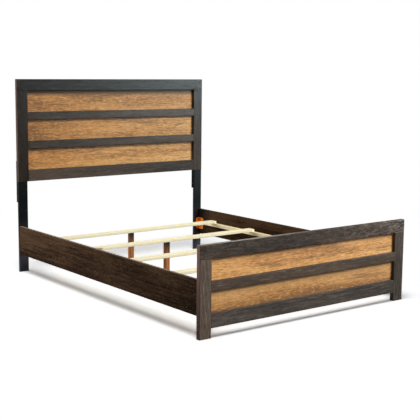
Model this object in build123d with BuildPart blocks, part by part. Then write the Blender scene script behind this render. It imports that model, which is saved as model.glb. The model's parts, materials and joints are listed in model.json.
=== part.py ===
"""Panelled bed frame: a framed headboard on spliced legs, a framed footboard on its own feet, two
side rails with ledgers, four slats and four centre supports with screw-in levelling glides.

Millimetres. The origin is on the floor under the middle of the bed. +X is to the right seen from
the foot, +Y runs towards the headboard and +Z is up. A frame member's face is its -Y side.
"""

import os

from build123d import *

os.makedirs("parts", exist_ok=True)

# Overall sizes
bed_width = 1600.0
bed_height = 1355.0
rail_length = 2085.0

# Headboard and footboard frames
headboard_height = 714.0
footboard_height = 513.0
footboard_floor_gap = 54.0
frame_thickness = 30.0
member_width = 80.0
mid_rail_width = 55.0
edge_ease = 2.0

# Panels, their grooves and the stub tenons that fill the grooves
panel_recess = 20.0
panel_thickness = 6.0
panel_face_gap = 0.2
panel_edge_gap = 0.5
groove_depth = 6.0
tenon_face_gap = 0.1

# Headboard legs and the splice blocks that carry the headboard on them
leg_width = 70.0
leg_thickness = 18.0
leg_setback = 2.0
splice_thickness = 16.0
splice_lap = 145.0
splice_gap = 0.5
coach_screw_radius = 4.0
coach_screw_bite = 15.0
coach_head_radius = 7.5
coach_head_height = 5.0
coach_screw_pitch = 60.0

# Side rails and ledgers
rail_height = 200.0
rail_thickness = 20.0
rail_floor_gap = 127.0
rail_inset = 3.0
ledger_width = 25.0
ledger_height = 25.0
ledger_rise = 85.0
ledger_end_gap = 120.0
ledger_screw_count = 4
ledger_screw_end_gap = 90.0

# Corner brackets, bent from steel strip
bracket_steel = 3.0
bracket_height = 90.0
bracket_drop = 70.0
bracket_rail_flange = 62.0
bracket_leg_flange = 28.0
bracket_bend = 2.0
bracket_corner = 15.0
bracket_pitch = 46.0
bracket_screw_reach = 40.0
bracket_bolt_reach = 15.0
bolt_radius = 4.0
bolt_head_radius = 7.0
bolt_head_height = 5.0
insert_radius = 6.0
insert_length = 13.0

# Slats, evenly spaced from the first one's distance to the headboard's face
slat_count = 4
slat_first_distance = 203.0
slat_pitch = 460.0
slat_width = 64.0
slat_thickness = 18.0
slat_end_gap = 3.0

# Centre supports and their levelling glides
support_side = 34.0
support_screw_bite = 40.0
glide_radius = 13.0
glide_height = 7.0
glide_lip = 1.5
glide_seat_gap = 0.3
stem_radius = 4.0
stem_length = 24.0
stem_end_room = 3.0

# Wood screws and fits
screw_radius = 2.25
screw_head_radius = 4.5
screw_head_height = 2.5
screw_bite = 14.0
screw_cone_angle = 45.0
shank_sides = 8
head_sides = 12
hole_gap = 0.2
grip_gap = 0.05
drill_room = 0.5

# Planes across the bed, from the footboard's face to the screw heads behind the headboard
overall_length = (
    frame_thickness + rail_length + leg_thickness + splice_thickness + coach_head_height
)
foot_face_y = -overall_length / 2
foot_back_y = foot_face_y + frame_thickness
leg_face_y = foot_back_y + rail_length
leg_back_y = leg_face_y + leg_thickness
splice_back_y = leg_back_y + splice_thickness
head_face_y = leg_face_y - leg_setback
slat_distances = [slat_first_distance + i * slat_pitch for i in range(slat_count)]

# Sideways places
half_width = bed_width / 2
stile_inner_x = half_width - member_width
leg_outer_x = half_width
rail_outer_x = half_width - rail_inset
rail_inner_x = rail_outer_x - rail_thickness
ledger_inner_x = rail_inner_x - ledger_width
groove_width = panel_thickness + 2 * panel_face_gap
panel_tongue = groove_depth - panel_edge_gap
splice_width = member_width - groove_depth - 2 * splice_gap
splice_mid_x = leg_outer_x - splice_width / 2

# Heights
head_bottom_z = bed_height - headboard_height
head_opening = (headboard_height - 2 * member_width - 2 * mid_rail_width) / 3
foot_opening = (
    footboard_height - footboard_floor_gap - 2 * member_width - mid_rail_width
) / 2
rail_top_z = rail_floor_gap + rail_height
ledger_top_z = rail_floor_gap + ledger_rise + ledger_height
slat_top_z = ledger_top_z + slat_thickness
support_bottom_z = glide_height + glide_seat_gap
bracket_mid_z = rail_top_z - bracket_drop - bracket_height / 2
bracket_heights = (bracket_mid_z - bracket_pitch / 2, bracket_mid_z + bracket_pitch / 2)
bracket_bolt_x = rail_inner_x - bracket_bolt_reach

SIDES = (("left", -1), ("right", 1))
ENDS = (("head", leg_face_y, 1), ("foot", foot_back_y, -1))


def save(builder, name):
    """Name a finished piece and write it out."""
    builder.part.label = name
    export_step(builder.part, f"parts/{name}.step")


def span(low, high):
    """Middle and length of a stretch between two values."""
    return (low + high) / 2, abs(high - low)


def board_plan(x_low, x_high, y_low, y_high):
    """Draw a board's outline, seen from above, on the sketch in hand."""
    x_mid, x_size = span(x_low, x_high)
    y_mid, y_size = span(y_low, y_high)
    with Locations((x_mid, y_mid)):
        Rectangle(x_size, y_size)


def frame_rail(name, half_length, low, high, face_y, grooves, tenoned=True):
    """A level frame member with panel grooves, and stub tenons where it meets the stiles."""
    groove_y = face_y + panel_recess + groove_width / 2
    with BuildPart() as rail:
        with BuildSketch(Plane.XY.offset(low)):
            board_plan(-half_length, half_length, face_y, face_y + frame_thickness)
        extrude(amount=high - low)
        eased = rail.edges().filter_by(Axis.X) if tenoned else rail.edges()
        chamfer(eased, edge_ease)
        tenon_low = low
        tenon_high = high
        with BuildSketch(Plane.YZ.offset(-half_length)):
            if "low" in grooves:
                tenon_low = low + groove_depth
                with Locations((groove_y, low + groove_depth / 2)):
                    Rectangle(groove_width, groove_depth)
            if "high" in grooves:
                tenon_high = high - groove_depth
                with Locations((groove_y, high - groove_depth / 2)):
                    Rectangle(groove_width, groove_depth)
        extrude(amount=2 * half_length, mode=Mode.SUBTRACT)
        if tenoned:
            reach = half_length + panel_tongue
            tenon_z, tenon_size = span(tenon_low, tenon_high)
            with BuildSketch(Plane.YZ.offset(-reach)):
                with Locations((groove_y, tenon_z)):
                    Rectangle(groove_width - 2 * tenon_face_gap, tenon_size)
            extrude(amount=2 * reach)
    save(rail, name)


def frame_panel(name, low, high, face_y):
    """A floating panel, held by its edges in the grooves round one opening."""
    front_y = face_y + panel_recess + panel_face_gap
    reach = stile_inner_x + panel_tongue
    with BuildPart() as panel:
        with BuildSketch(Plane.XY.offset(low - panel_tongue)):
            board_plan(-reach, reach, front_y, front_y + panel_thickness)
        extrude(amount=high - low + 2 * panel_tongue)
    save(panel, name)


def stile_blank(side, low, high, groove_low, face_y):
    """An upright frame member: eased arrises, a panel groove and a tongue under the top rail."""
    inner_x = side * stile_inner_x
    outer_x = side * half_width
    groove_x = inner_x + side * groove_depth
    groove_front = face_y + panel_recess
    with BuildPart() as stile:
        with BuildSketch(Plane.XY.offset(low)):
            board_plan(inner_x, outer_x, face_y, face_y + frame_thickness)
        extrude(amount=high - low)
        chamfer(stile.edges().filter_by(Axis.Z), edge_ease)
        with BuildSketch(Plane.XY.offset(groove_low)):
            board_plan(inner_x, groove_x, groove_front, groove_front + groove_width)
        extrude(amount=high - groove_low, mode=Mode.SUBTRACT)
        with BuildSketch(Plane.XY.offset(high)):
            tongue_front = groove_front + tenon_face_gap
            tongue_back = groove_front + groove_width - tenon_face_gap
            board_plan(groove_x, outer_x - side * edge_ease, tongue_front, tongue_back)
        extrude(amount=panel_tongue)
    return stile.part


def bolt_mouths(side, end_y, facing):
    """Planes on a leg or foot where the corner bolts go in, away from the middle of the bed."""
    return [
        Plane(origin=(side * bracket_bolt_x, end_y, z), x_dir=(1, 0, 0), z_dir=(0, facing, 0))
        for z in bracket_heights
    ]


def splice_mouths(side, y, ways):
    """Planes where the coach screws go in, below (-1) or above (1) the headboard's bottom."""
    return [
        Plane(
            origin=(
                side * splice_mid_x,
                y,
                head_bottom_z + way * (splice_lap + step * coach_screw_pitch) / 2,
            ),
            x_dir=(1, 0, 0),
            z_dir=(0, -1, 0),
        )
        for way in ways
        for step in (-1, 1)
    ]


def bracket_screw_mouths(side, x, ends):
    """Planes where the screws of a side rail's brackets go in, towards the outside."""
    return [
        Plane(
            origin=(side * x, end_y - facing * bracket_screw_reach, z),
            x_dir=(0, 1, 0),
            z_dir=(side, 0, 0),
        )
        for _, end_y, facing in ends
        for z in bracket_heights
    ]


def ledger_screw_mouths(side, x):
    """Planes where the evenly spaced screws of one ledger go in, towards the outside."""
    first_y = foot_back_y + ledger_end_gap + ledger_screw_end_gap
    last_y = leg_face_y - ledger_end_gap - ledger_screw_end_gap
    step = (last_y - first_y) / (ledger_screw_count - 1)
    z = ledger_top_z - ledger_height / 2
    return [
        Plane(origin=(side * x, first_y + i * step, z), x_dir=(0, 1, 0), z_dir=(side, 0, 0))
        for i in range(ledger_screw_count)
    ]


def support_screw_mouths(distances, z):
    """Planes over the slats' middles, where they are screwed down on their centre supports."""
    return [
        Plane(origin=(0, head_face_y - distance, z), x_dir=(1, 0, 0), z_dir=(0, 0, -1))
        for distance in distances
    ]


def shank(mouths, radius, length, mode=Mode.ADD, sides=shank_sides, taper=0):
    """Bars that go in at each mouth, or the holes for them. There are many, so they are faceted."""
    with BuildSketch(*mouths) as section:
        RegularPolygon(radius, sides)
    extrude(section.sketch, amount=length, mode=mode, taper=taper)


def bore(mouths, radius, depth):
    """Blind or through holes at each mouth."""
    shank(mouths, radius, depth, mode=Mode.SUBTRACT)


def countersunk(mouths, radius, head_radius, length, mode=Mode.ADD):
    """Flush-headed screws at each mouth, or their sunk holes."""
    shank(mouths, radius, length, mode=mode)
    cone_depth = head_radius - radius
    shank(mouths, head_radius, cone_depth, mode=mode, taper=screw_cone_angle)


# Headboard: level members from the bottom up, with a panel in each opening
head_low_1 = head_bottom_z + member_width
head_high_1 = head_low_1 + head_opening
head_low_2 = head_high_1 + mid_rail_width
head_high_2 = head_low_2 + head_opening
head_low_3 = head_high_2 + mid_rail_width
head_high_3 = head_low_3 + head_opening

both = ("low", "high")
frame_rail(
    "headboard_bottom_rail", stile_inner_x, head_bottom_z, head_low_1, head_face_y, ("high",)
)
frame_rail("headboard_lower_mid_rail", stile_inner_x, head_high_1, head_low_2, head_face_y, both)
frame_rail("headboard_upper_mid_rail", stile_inner_x, head_high_2, head_low_3, head_face_y, both)
frame_rail(
    "headboard_top_rail", half_width, head_high_3, bed_height, head_face_y, ("low",), False
)
frame_panel("headboard_lower_panel", head_low_1, head_high_1, head_face_y)
frame_panel("headboard_middle_panel", head_low_2, head_high_2, head_face_y)
frame_panel("headboard_upper_panel", head_low_3, head_high_3, head_face_y)

# Headboard stiles, rebated behind for the splice blocks
for side_name, side in SIDES:
    with BuildPart() as head_stile:
        add(stile_blank(side, head_bottom_z, head_high_3, head_bottom_z, head_face_y))
        with BuildSketch(Plane.XY.offset(head_bottom_z)):
            rebate_back = head_face_y + frame_thickness
            board_plan(side * stile_inner_x, side * half_width, leg_back_y, rebate_back)
        extrude(amount=splice_lap + splice_gap, mode=Mode.SUBTRACT)
        above = splice_mouths(side, leg_back_y, (1,))
        bore(above, coach_screw_radius + grip_gap, coach_screw_bite + drill_room)
    save(head_stile, f"headboard_{side_name}_stile")

# Headboard legs, butted under the stiles
for side_name, side in SIDES:
    with BuildPart() as head_leg:
        with BuildSketch():
            inner_x = side * (leg_outer_x - leg_width)
            board_plan(inner_x, side * leg_outer_x, leg_face_y, leg_back_y)
        extrude(amount=head_bottom_z)
        foot_edges = head_leg.faces().sort_by(Axis.Z)[0].edges()
        chamfer(head_leg.edges().filter_by(Axis.Z) + foot_edges, edge_ease)
        below = splice_mouths(side, leg_back_y, (-1,))
        bore(below, coach_screw_radius + grip_gap, coach_screw_bite + drill_room)
        bolts = bolt_mouths(side, leg_face_y, 1)
        bore(bolts, insert_radius + grip_gap, insert_length + drill_room)
    save(head_leg, f"headboard_{side_name}_leg")

# Splice blocks, screwed from behind to the stile above and the leg below
for side_name, side in SIDES:
    with BuildPart() as splice:
        with BuildSketch(Plane.XY.offset(head_bottom_z - splice_lap)):
            inner_x = side * (leg_outer_x - splice_width)
            board_plan(inner_x, side * leg_outer_x, leg_back_y, splice_back_y)
        extrude(amount=2 * splice_lap)
        chamfer(splice.faces().sort_by(Axis.Y)[-1].edges(), edge_ease)
        whole = splice_mouths(side, splice_back_y, (-1, 1))
        bore(whole, coach_screw_radius + hole_gap, splice_thickness)
    save(splice, f"{side_name}_leg_splice")

with BuildPart() as splice_screws:
    for _, side in SIDES:
        whole = splice_mouths(side, splice_back_y, (-1, 1))
        shank(whole, coach_screw_radius, splice_thickness + coach_screw_bite)
        shank(whole, coach_head_radius, -coach_head_height, sides=6)
save(splice_screws, "splice_screws")

# Footboard: two panels between three level members, on stiles that reach the floor
foot_low_1 = footboard_floor_gap + member_width
foot_high_1 = foot_low_1 + foot_opening
foot_low_2 = foot_high_1 + mid_rail_width
foot_high_2 = foot_low_2 + foot_opening

frame_rail(
    "footboard_bottom_rail", stile_inner_x, footboard_floor_gap, foot_low_1, foot_face_y, ("high",)
)
frame_rail("footboard_mid_rail", stile_inner_x, foot_high_1, foot_low_2, foot_face_y, both)
frame_rail(
    "footboard_top_rail", half_width, foot_high_2, footboard_height, foot_face_y, ("low",), False
)
frame_panel("footboard_lower_panel", foot_low_1, foot_high_1, foot_face_y)
frame_panel("footboard_upper_panel", foot_low_2, foot_high_2, foot_face_y)

for side_name, side in SIDES:
    with BuildPart() as foot_stile:
        add(stile_blank(side, 0, foot_high_2, footboard_floor_gap, foot_face_y))
        chamfer(foot_stile.faces().sort_by(Axis.Z)[0].edges(), edge_ease)
        bolts = bolt_mouths(side, foot_back_y, -1)
        bore(bolts, insert_radius + grip_gap, insert_length + drill_room)
    save(foot_stile, f"footboard_{side_name}_stile")

# Side rails and the ledgers screwed along their inner faces
for side_name, side in SIDES:
    with BuildPart() as side_rail:
        with BuildSketch(Plane.XY.offset(rail_floor_gap)):
            board_plan(side * rail_inner_x, side * rail_outer_x, foot_back_y, leg_face_y)
        extrude(amount=rail_height)
        chamfer(side_rail.edges().filter_by(Axis.Y), edge_ease)
        pilots = bracket_screw_mouths(side, rail_inner_x, ENDS)
        pilots += ledger_screw_mouths(side, rail_inner_x)
        bore(pilots, screw_radius + grip_gap, screw_bite + drill_room)
    save(side_rail, f"{side_name}_side_rail")

    with BuildPart() as ledger:
        ledger_foot_y = foot_back_y + ledger_end_gap
        ledger_head_y = leg_face_y - ledger_end_gap
        with BuildSketch(Plane.XY.offset(ledger_top_z - ledger_height)):
            board_plan(side * ledger_inner_x, side * rail_inner_x, ledger_foot_y, ledger_head_y)
        extrude(amount=ledger_height)
        mouths = ledger_screw_mouths(side, ledger_inner_x)
        sunk_radius = screw_head_radius + hole_gap
        countersunk(mouths, screw_radius + hole_gap, sunk_radius, ledger_width, Mode.SUBTRACT)
    save(ledger, f"{side_name}_ledger")

with BuildPart() as ledger_screws:
    for _, side in SIDES:
        mouths = ledger_screw_mouths(side, ledger_inner_x)
        countersunk(mouths, screw_radius, screw_head_radius, ledger_width + screw_bite)
save(ledger_screws, "ledger_screws")

# Corner brackets: a long flange on the rail, a short one on the leg or foot
for end_name, end_y, facing in ENDS:
    for side_name, side in SIDES:
        with BuildPart() as bracket:
            with BuildSketch(Plane.XY.offset(bracket_mid_z - bracket_height / 2)) as strip:
                corner_x = side * rail_inner_x
                flange_x = corner_x - side * bracket_leg_flange
                flange_y = end_y - facing * bracket_rail_flange
                steel_x = corner_x - side * bracket_steel
                steel_y = end_y - facing * bracket_steel
                board_plan(steel_x, corner_x, flange_y, end_y)
                board_plan(flange_x, corner_x, steel_y, end_y)
                outside = strip.vertices().sort_by_distance((corner_x, end_y, 0))[0]
                fillet(outside, bracket_bend + bracket_steel)
                inside = strip.vertices().sort_by_distance((steel_x, steel_y, 0))[0]
                fillet(inside, bracket_bend)
            extrude(amount=bracket_height)
            rail_tip = bracket.faces().filter_by(Axis.Y).sort_by_distance((steel_x, flange_y, 0))[0]
            leg_tip = bracket.faces().filter_by(Axis.X).sort_by_distance((flange_x, steel_y, 0))[0]
            tip_edges = rail_tip.edges().filter_by(Axis.X) + leg_tip.edges().filter_by(Axis.Y)
            fillet(tip_edges, bracket_corner)
            bore(bolt_mouths(side, steel_y, facing), bolt_radius + hole_gap, bracket_steel)
            own_end = ((end_name, end_y, facing),)
            screws = bracket_screw_mouths(side, rail_inner_x - bracket_steel, own_end)
            bore(screws, screw_radius + hole_gap, bracket_steel)
        save(bracket, f"{end_name}_{side_name}_bracket")

with BuildPart() as bracket_screws:
    for _, side in SIDES:
        mouths = bracket_screw_mouths(side, rail_inner_x - bracket_steel, ENDS)
        shank(mouths, screw_radius, bracket_steel + screw_bite)
        shank(mouths, screw_head_radius, -screw_head_height, sides=head_sides)
save(bracket_screws, "bracket_screws")

with BuildPart() as bracket_bolts:
    for _, end_y, facing in ENDS:
        for _, side in SIDES:
            mouths = bolt_mouths(side, end_y - facing * bracket_steel, facing)
            shank(mouths, bolt_radius, bracket_steel + insert_length)
            shank(mouths, bolt_head_radius, -bolt_head_height, sides=6)
save(bracket_bolts, "bracket_bolts")

with BuildPart() as bracket_inserts:
    for _, end_y, facing in ENDS:
        for _, side in SIDES:
            mouths = bolt_mouths(side, end_y, facing)
            shank(mouths, insert_radius, insert_length)
            bore(mouths, bolt_radius + grip_gap, insert_length)
save(bracket_inserts, "bracket_inserts")

# Slats, resting on the ledgers and screwed down on their centre supports
slat_reach = rail_inner_x - slat_end_gap
for number, distance in enumerate(slat_distances, start=1):
    slat_y = head_face_y - distance
    with BuildPart() as slat:
        with BuildSketch(Plane.XY.offset(ledger_top_z)):
            board_plan(-slat_reach, slat_reach, slat_y - slat_width / 2, slat_y + slat_width / 2)
        extrude(amount=slat_thickness)
        chamfer(slat.edges().filter_by(Axis.X), edge_ease)
        mouths = support_screw_mouths((distance,), slat_top_z)
        sunk_radius = screw_head_radius + hole_gap
        countersunk(mouths, screw_radius + hole_gap, sunk_radius, slat_thickness, Mode.SUBTRACT)
    save(slat, f"slat_{number}")

    with BuildPart() as support:
        with BuildSketch(Plane.XY.offset(support_bottom_z)):
            with Locations((0, slat_y)):
                Rectangle(support_side, support_side)
        extrude(amount=ledger_top_z - support_bottom_z)
        chamfer(support.edges().filter_by(Axis.Z), edge_ease)
        pilots = support_screw_mouths((distance,), ledger_top_z)
        bore(pilots, screw_radius + grip_gap, support_screw_bite + drill_room)
        with BuildSketch(Plane.XY.offset(support_bottom_z)):
            with Locations((0, slat_y)):
                Circle(insert_radius + grip_gap)
        extrude(amount=insert_length, mode=Mode.SUBTRACT)
        with BuildSketch(Plane.XY.offset(support_bottom_z)):
            with Locations((0, slat_y)):
                Circle(stem_radius + hole_gap)
        extrude(amount=stem_length + stem_end_room, mode=Mode.SUBTRACT)
    save(support, f"support_leg_{number}")

    with BuildPart() as glide:
        with BuildSketch():
            with Locations((0, slat_y)):
                RegularPolygon(glide_radius, 6)
        extrude(amount=glide_height)
        chamfer(glide.faces().sort_by(Axis.Z)[0].edges(), glide_lip)
        with BuildSketch(Plane.XY.offset(glide_height)):
            with Locations((0, slat_y)):
                Circle(stem_radius)
        extrude(amount=stem_length)
    save(glide, f"levelling_glide_{number}")

with BuildPart() as support_screws:
    mouths = support_screw_mouths(slat_distances, slat_top_z)
    countersunk(mouths, screw_radius, screw_head_radius, slat_thickness + support_screw_bite)
save(support_screws, "support_screws")

with BuildPart() as glide_inserts:
    with BuildSketch(Plane.XY.offset(support_bottom_z)):
        with Locations(*[(0, head_face_y - distance) for distance in slat_distances]):
            Circle(insert_radius)
            Circle(stem_radius + grip_gap, mode=Mode.SUBTRACT)
    extrude(amount=insert_length)
save(glide_inserts, "glide_inserts")
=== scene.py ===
# %% [markdown]
# # A panelled bed frame
# The bed's solids are already made: every board, bracket and screw stands where it belongs, at its
# real size. This lesson gives them their looks. It finishes the wood and the steel with node
# materials, models the small turned and threaded pieces that the solids only hint at, and sets up
# the camera and the light.

import json
import math

import bmesh
import bpy
from mathutils import Matrix, Vector


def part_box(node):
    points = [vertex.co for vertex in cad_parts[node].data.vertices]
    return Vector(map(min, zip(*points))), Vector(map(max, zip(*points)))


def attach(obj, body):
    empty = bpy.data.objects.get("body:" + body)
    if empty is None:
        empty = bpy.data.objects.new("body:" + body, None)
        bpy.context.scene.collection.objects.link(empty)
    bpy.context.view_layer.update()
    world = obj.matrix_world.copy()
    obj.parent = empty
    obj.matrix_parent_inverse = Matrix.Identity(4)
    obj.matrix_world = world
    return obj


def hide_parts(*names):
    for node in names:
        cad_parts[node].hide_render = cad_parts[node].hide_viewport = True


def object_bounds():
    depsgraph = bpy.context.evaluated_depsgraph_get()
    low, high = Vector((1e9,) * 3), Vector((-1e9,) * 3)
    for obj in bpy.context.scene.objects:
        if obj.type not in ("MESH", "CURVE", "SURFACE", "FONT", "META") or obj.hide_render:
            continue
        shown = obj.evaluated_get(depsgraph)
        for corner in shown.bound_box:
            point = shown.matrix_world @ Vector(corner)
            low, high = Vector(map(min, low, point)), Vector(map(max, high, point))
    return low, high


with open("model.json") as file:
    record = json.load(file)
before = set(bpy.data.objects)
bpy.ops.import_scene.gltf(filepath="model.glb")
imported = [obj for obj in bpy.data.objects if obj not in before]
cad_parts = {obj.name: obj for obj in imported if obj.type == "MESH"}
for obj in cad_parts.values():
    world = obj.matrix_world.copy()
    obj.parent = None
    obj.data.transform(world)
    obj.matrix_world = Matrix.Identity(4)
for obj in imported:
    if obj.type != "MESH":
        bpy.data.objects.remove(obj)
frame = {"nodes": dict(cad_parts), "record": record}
cad_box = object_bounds()
nodes = frame["nodes"]
scene = bpy.context.scene
scene.view_settings.view_transform = "Standard"
print(f"{len(nodes)} nodes, from {tuple(cad_box[0])} to {tuple(cad_box[1])}")

# %% [markdown]
# ## Camera
# The picture is taken from in front of the footboard, to its left, from a little higher than the
# headboard. A camera can be placed by eye, but straight boards tell more: its place, its turn and its
# lens were worked out from the bed's edges in the photograph. The optical axis isn't quite in the
# middle of the picture, so the lens is shifted a little, as on a view camera.

# %% Camera
IMAGE_SIDE = 420.0
FOCAL_PIXELS = 946.5
AXIS_PIXEL = Vector((202.1, 200.25))
SENSOR_WIDTH = 36.0
CAMERA_PLACE = Vector((-3.741, -4.977, 1.423))
CAMERA_TURN = math.radians(37.117)
CAMERA_DIP = math.radians(7.793)
CAMERA_ROLL = math.radians(0.489)

lens = bpy.data.cameras.new("camera")
lens.sensor_width = SENSOR_WIDTH
lens.lens = FOCAL_PIXELS / IMAGE_SIDE * SENSOR_WIDTH
lens.shift_x = 0.5 - AXIS_PIXEL.x / IMAGE_SIDE
lens.shift_y = AXIS_PIXEL.y / IMAGE_SIDE - 0.5
camera = bpy.data.objects.new("camera", lens)
scene.collection.objects.link(camera)
camera.matrix_world = (
    Matrix.Translation(CAMERA_PLACE)
    @ Matrix.Rotation(-CAMERA_TURN, 4, "Z")
    @ Matrix.Rotation(math.pi / 2 - CAMERA_DIP, 4, "X")
    @ Matrix.Rotation(CAMERA_ROLL, 4, "Z")
)
scene.camera = camera
print(f"lens {lens.lens:.1f} mm, shift {lens.shift_x:.3f} {lens.shift_y:.3f}")

# %% [markdown]
# ## Node helpers
# A material is a small network of nodes. It could be wired by hand, but nearly every board gets its
# own, so a script makes them. The first helper adds any node and fills its sockets with values or with
# links. The others do one step each: arithmetic, a range, a coordinate, a colour.


# %% Node helpers
def put(tree, kind, sockets=None, **settings):
    """Add a node. A socket takes a plain value, or another node's output, which is linked to it."""
    node = tree.nodes.new("ShaderNode" + kind)
    for name, value in settings.items():
        setattr(node, name, value)
    for name, value in (sockets or {}).items():
        if isinstance(value, bpy.types.NodeSocket):
            tree.links.new(value, node.inputs[name])
        else:
            node.inputs[name].default_value = value
    return node


def calc(tree, operation, first, second=0.5):
    """One step of arithmetic on two values."""
    return put(tree, "Math", {0: first, 1: second}, operation=operation).outputs[0]


def spread(tree, value, low, high, to_low=0.0, to_high=1.0):
    """Stretch the range from low to high over another range, and clip what lies outside."""
    sockets = {"Value": value, "From Min": low, "From Max": high, "To Min": to_low, "To Max": to_high}
    return put(tree, "MapRange", sockets).outputs[0]


def coordinate(tree, axis):
    """One of the object's own coordinates, in metres."""
    place = put(tree, "TexCoord").outputs["Object"]
    return put(tree, "SeparateXYZ", {"Vector": place}).outputs[axis]


# %% Colour helpers
def opaque(colour):
    """A plain colour with the fourth value that a socket takes. A node's output passes as it is."""
    return colour if isinstance(colour, bpy.types.NodeSocket) else (*colour, 1.0)


def shade(colour, factor):
    """A paler or a deeper tone of one colour."""
    return tuple(Vector(colour) * factor)


def blend_colour(tree, amount, first, second, way="MIX"):
    """Mix two colours. ShaderNodeMix keeps its colour sockets at places 6 and 7."""
    sockets = {0: amount, 6: opaque(first), 7: opaque(second)}
    return put(tree, "Mix", sockets, data_type="RGBA", blend_type=way).outputs[2]


def lay_over(tree, colour, *layers):
    """Lay colours over a colour, one after another. Each layer is an amount and a colour."""
    for amount, layer in layers:
        colour = blend_colour(tree, amount, colour, layer)
    return colour


def ramp(tree, value, *stops):
    """Turn a grey value into colours. Each stop is a place from 0 to 1 and a colour."""
    node = put(tree, "ValToRGB", {"Fac": value})
    elements = node.color_ramp.elements
    while len(elements) < len(stops):
        elements.new(0.5)
    for element, (place, colour) in zip(elements, stops):
        element.position = place
        element.color = opaque(colour)
    return node.outputs["Color"]


# %% Shader helpers
def new_finish(name, roughness=0.5, shine=0.5, metal=0.0):
    """A material, its node tree and its shader, with the constant values on the shader's sockets."""
    material = bpy.data.materials.new(name)
    material.use_nodes = True
    tree = material.node_tree
    shader = tree.nodes["Principled BSDF"]
    shader.inputs["Roughness"].default_value = roughness
    shader.inputs["Specular IOR Level"].default_value = shine
    shader.inputs["Metallic"].default_value = metal
    return material, tree, shader


def dress(tree, shader, colour, rough=None):
    """Give the shader its colour, and its roughness where that changes over the surface."""
    tree.links.new(colour, shader.inputs["Base Color"])
    if rough is not None:
        tree.links.new(rough, shader.inputs["Roughness"])


# %% [markdown]
# ## Grain
# Wood is a solid pattern: long fibres, so everything in it is stretched along the board. A picture of
# wood would show the same figure on every face. Noise that is read at the object's own coordinates,
# in metres, runs through the board instead. It is turned so that X runs along the grain, and scaled
# far less along the fibres than across them, so cut ends show end grain by themselves. Each board is
# read from another place in the noise, as if it came from another plank.

# %% Grain
GRAIN_TURNS = {
    "x": (0.0, 0.0, 0.0),
    "y": (0.0, 0.0, -math.pi / 2),
    "z": (0.0, math.pi / 2, 0.0),
}
PLANK_STEP = Vector((3.7, 1.9, 2.3))


def plank(tree, grain, number):
    """Coordinates for one board, with X along its grain."""
    place = put(tree, "TexCoord").outputs["Object"]
    sockets = {"Vector": place, "Rotation": GRAIN_TURNS[grain], "Location": PLANK_STEP * number}
    return put(tree, "Mapping", sockets).outputs["Vector"]


def streaks(tree, coordinates, along, across, detail=4.0, warp=0.0):
    """Stretched noise: so many features to the metre along the grain and across it."""
    sockets = {0: coordinates, 1: (along, across, across)}
    stretched = put(tree, "VectorMath", sockets, operation="MULTIPLY").outputs[0]
    sockets = {"Vector": stretched, "Scale": 1.0, "Detail": detail, "Distortion": warp}
    return put(tree, "TexNoise", sockets).outputs["Fac"]


# %% Brushed grain
# Features to the metre, along the grain and across it.
BANDS = (1.4, 15.0)
SHORT_STREAKS = (12.0, 115.0)
FIBRES = (22.0, 330.0)
PORES = (40.0, 760.0)


def brushed_grain(tree, board):
    """Grey values of brushed wood at four widths: broad bands, streaks, fibres and pores."""
    bands = streaks(tree, board, *BANDS, detail=3.0, warp=0.5)
    short = streaks(tree, board, *SHORT_STREAKS, warp=0.4)
    fibres = streaks(tree, board, *FIBRES)
    pores = streaks(tree, board, *PORES, detail=2.0)
    return bands, short, fibres, pores


def weigh(tree, *parts):
    """Add up grey values, each with its share."""
    total = None
    for value, share in parts:
        part = calc(tree, "MULTIPLY", value, share)
        total = part if total is None else calc(tree, "ADD", total, part)
    return total


# %% [markdown]
# ## Edges and relief
# No board has a knife edge: corners are eased with a plane, and then they wear. A bevel in the mesh
# would do it, but these boards are the solids themselves and stay as they are. So the shader rounds
# the normal close to an edge. Where the rounded normal leaves the true one, an edge is near, and the
# stain can be rubbed off there. Pores and fibres are a bump on top of the rounded normal.

# %% Edges and relief
EDGE_AGREEMENT = (0.99, 0.82)


def worn_edges(tree, reach):
    """How near a place is to an outer edge: where a rounded normal leaves the true one."""
    rounded = put(tree, "Bevel", {"Radius": reach}, samples=6).outputs["Normal"]
    true_normal = put(tree, "NewGeometry").outputs["True Normal"]
    sockets = {0: rounded, 1: true_normal}
    agree = put(tree, "VectorMath", sockets, operation="DOT_PRODUCT").outputs["Value"]
    return spread(tree, agree, *EDGE_AGREEMENT)


def relief(tree, shader, height, depth, edge_round):
    """Bump from a height, over edges that are softened by a small radius."""
    soft = put(tree, "Bevel", {"Radius": edge_round}, samples=4).outputs["Normal"]
    sockets = {"Height": height, "Distance": depth, "Strength": 1.0, "Normal": soft}
    bump = put(tree, "Bump", sockets)
    tree.links.new(bump.outputs["Normal"], shader.inputs["Normal"])


# %% [markdown]
# ## Dark frame
# The frame boards are stained nearly black-brown and wire-brushed: the soft wood is scratched out of
# the grain, so pores lie as dark lines, and the grey light that the raised fibres catch is painted
# into the colour as glints. Boards take stain unevenly, so each has its own depth of colour. One stain
# for all would be quicker, but then the boards would look like one moulding. The outer ends of the two
# frames are rubbed through to a paler brown, and the top faces are matt.

# %% Stain
STAIN_WARM = Vector((0.052, 0.034, 0.022))
STAIN_GREY = Vector((0.052, 0.043, 0.036))
STAIN_PORE = (0.008, 0.006, 0.005)
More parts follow.
